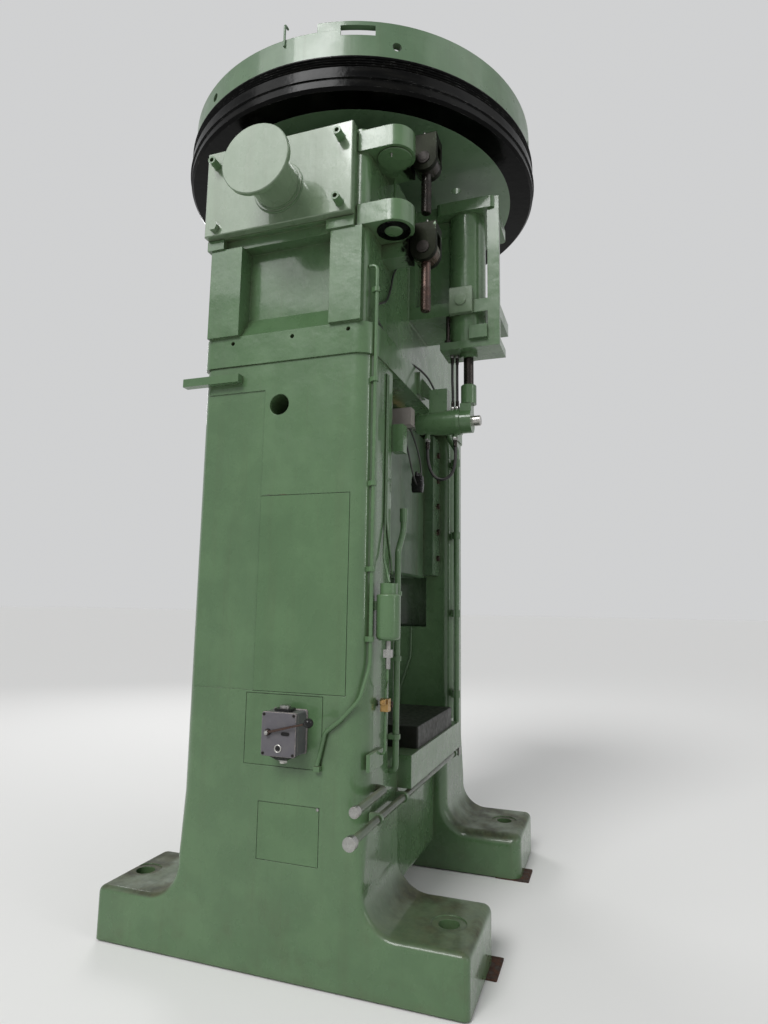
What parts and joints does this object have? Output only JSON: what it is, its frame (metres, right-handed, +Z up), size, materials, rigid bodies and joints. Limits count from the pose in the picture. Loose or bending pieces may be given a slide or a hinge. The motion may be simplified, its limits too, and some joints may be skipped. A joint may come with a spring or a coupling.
{
  "type": "screw press",
  "caption": "Belt-driven screw press with a cast frame, a grooved flywheel on top, a guided ram, lifting bollards and a hand lever switch box",
  "frame": {"origin": "on the floor, in the middle of the feet, below the spindle's axis", "axes": "+X across the press to the operator's right, -Y towards the operator, +Z up along the spindle"},
  "size_m": [2.496, 2.1138, 4.406],
  "materials": {
    "green_paint": "glossy green machine paint, chipped and stained",
    "black_paint": "glossy black paint, dusty",
    "grey_paint": "satin grey-green paint, worn",
    "pale_paint": "pale paint, chalky",
    "greasy_steel": "dark greasy steel",
    "bright_steel": "machined steel with oil film",
    "rusty_iron": "rusty iron",
    "bronze": "oily bronze",
    "hose_rubber": "black rubber",
    "red_plastic": "worn plastic ball"
  },
  "bodies": {
    "press": {"frame_body": "green_paint", "crown_body": "green_paint", "side_cover": "green_paint", "small_covers": "green_paint", "lifting_plate_left": "green_paint", "lifting_plate_right": "green_paint", "cylinder_bracket": "green_paint", "cylinder_foot": "green_paint", "port_flange": "green_paint", "lock_stay": "green_paint", "lock_cylinder": "green_paint", "hanger_post": "green_paint", "switch_glands": "green_paint", "junction_box": "green_paint", "conduit": "green_paint", "supply_pipe": "green_paint", "riser_pipe": "green_paint", "guide_rails_left": "green_paint", "guide_rails_right": "green_paint", "side_bar": "green_paint", "valve_block": "green_paint", "pipe_clips": "green_paint", "oil_bowl": "green_paint", "cylinder_barrel": "green_paint", "switch_box": "grey_paint", "pipe_fittings": "pale_paint", "hanger_rod": "greasy_steel", "bolster": "greasy_steel", "tie_rods": "greasy_steel", "swing_pins": "greasy_steel", "plate_sleeves": "greasy_steel", "pivot_plug": "greasy_steel", "guide_rail_bolts": "bright_steel", "plate_bolts": "bright_steel", "tie_rod_nuts": "bright_steel", "cylinder_studs": "bright_steel", "oil_tubes": "bright_steel", "drain_cock": "bright_steel", "foot_shims": "rusty_iron", "bed_pipes": "rusty_iron", "spindle_bushes": "bronze", "thrust_ring": "bronze", "pivot_bushes": "bronze", "hand_valve": "bronze", "lock_hoses": "hose_rubber", "ledge_cable": "hose_rubber", "loop_hose": "hose_rubber", "sensor_cable": "hose_rubber", "cable_plug": "hose_rubber"},
    "flywheel": {"spindle": "greasy_steel", "flywheel_wheel": "green_paint", "flywheel_rim": "black_paint", "flywheel_ring": "green_paint"},
    "ram_group": {"ram": "green_paint", "ram_nut": "bronze"},
    "lever": {"switch_lever": "bright_steel"},
    "upper_hanging_bolt": {"swing_bolt_upper": "greasy_steel"},
    "lower_hanging_bolt": {"swing_bolt_lower": "greasy_steel"},
    "valve_handwheel": {"valve_wheel": "rusty_iron"},
    "plunger": {"lock_plunger": "greasy_steel"}
  },
  "joints": [
    {"name": "flywheel_spin", "type": "hinge", "parent": "press", "child": "flywheel", "pos_m": [0, 0, 4], "axis": [0, 0, 1], "range_deg": [0, 760]},
    {"name": "ram_slide", "type": "slide", "parent": "press", "child": "ram_group", "axis": [0, 0, -1], "range_m": [0, 0.38]},
    {"name": "switch_lever_turn", "type": "hinge", "parent": "press", "child": "lever", "pos_m": [-1.06, -0.044, 1.011], "axis": [1, 0, 0], "range_deg": [-30, 30]},
    {"name": "upper_bolt_swing", "type": "hinge", "parent": "press", "child": "upper_hanging_bolt", "pos_m": [-0.695, -0.612, 3.733], "axis": [1, 0, 0], "range_deg": [-75, 25]},
    {"name": "lower_bolt_swing", "type": "hinge", "parent": "press", "child": "lower_hanging_bolt", "pos_m": [-0.695, -0.612, 3.262], "axis": [1, 0, 0], "range_deg": [-75, 25]},
    {"name": "valve_turn", "type": "hinge", "parent": "press", "child": "valve_handwheel", "pos_m": [-0.758, -0.47, 1.112], "axis": [1, 0, 0], "range_deg": [0, 90]},
    {"name": "lock_slide", "type": "slide", "parent": "press", "child": "plunger", "axis": [0, 1, 0], "range_m": [0, 0.09]}
  ],
  "couplings": [
    {"joint": "ram_slide", "follows": "flywheel_spin", "m_per_rad": 0.028648}
  ]
}
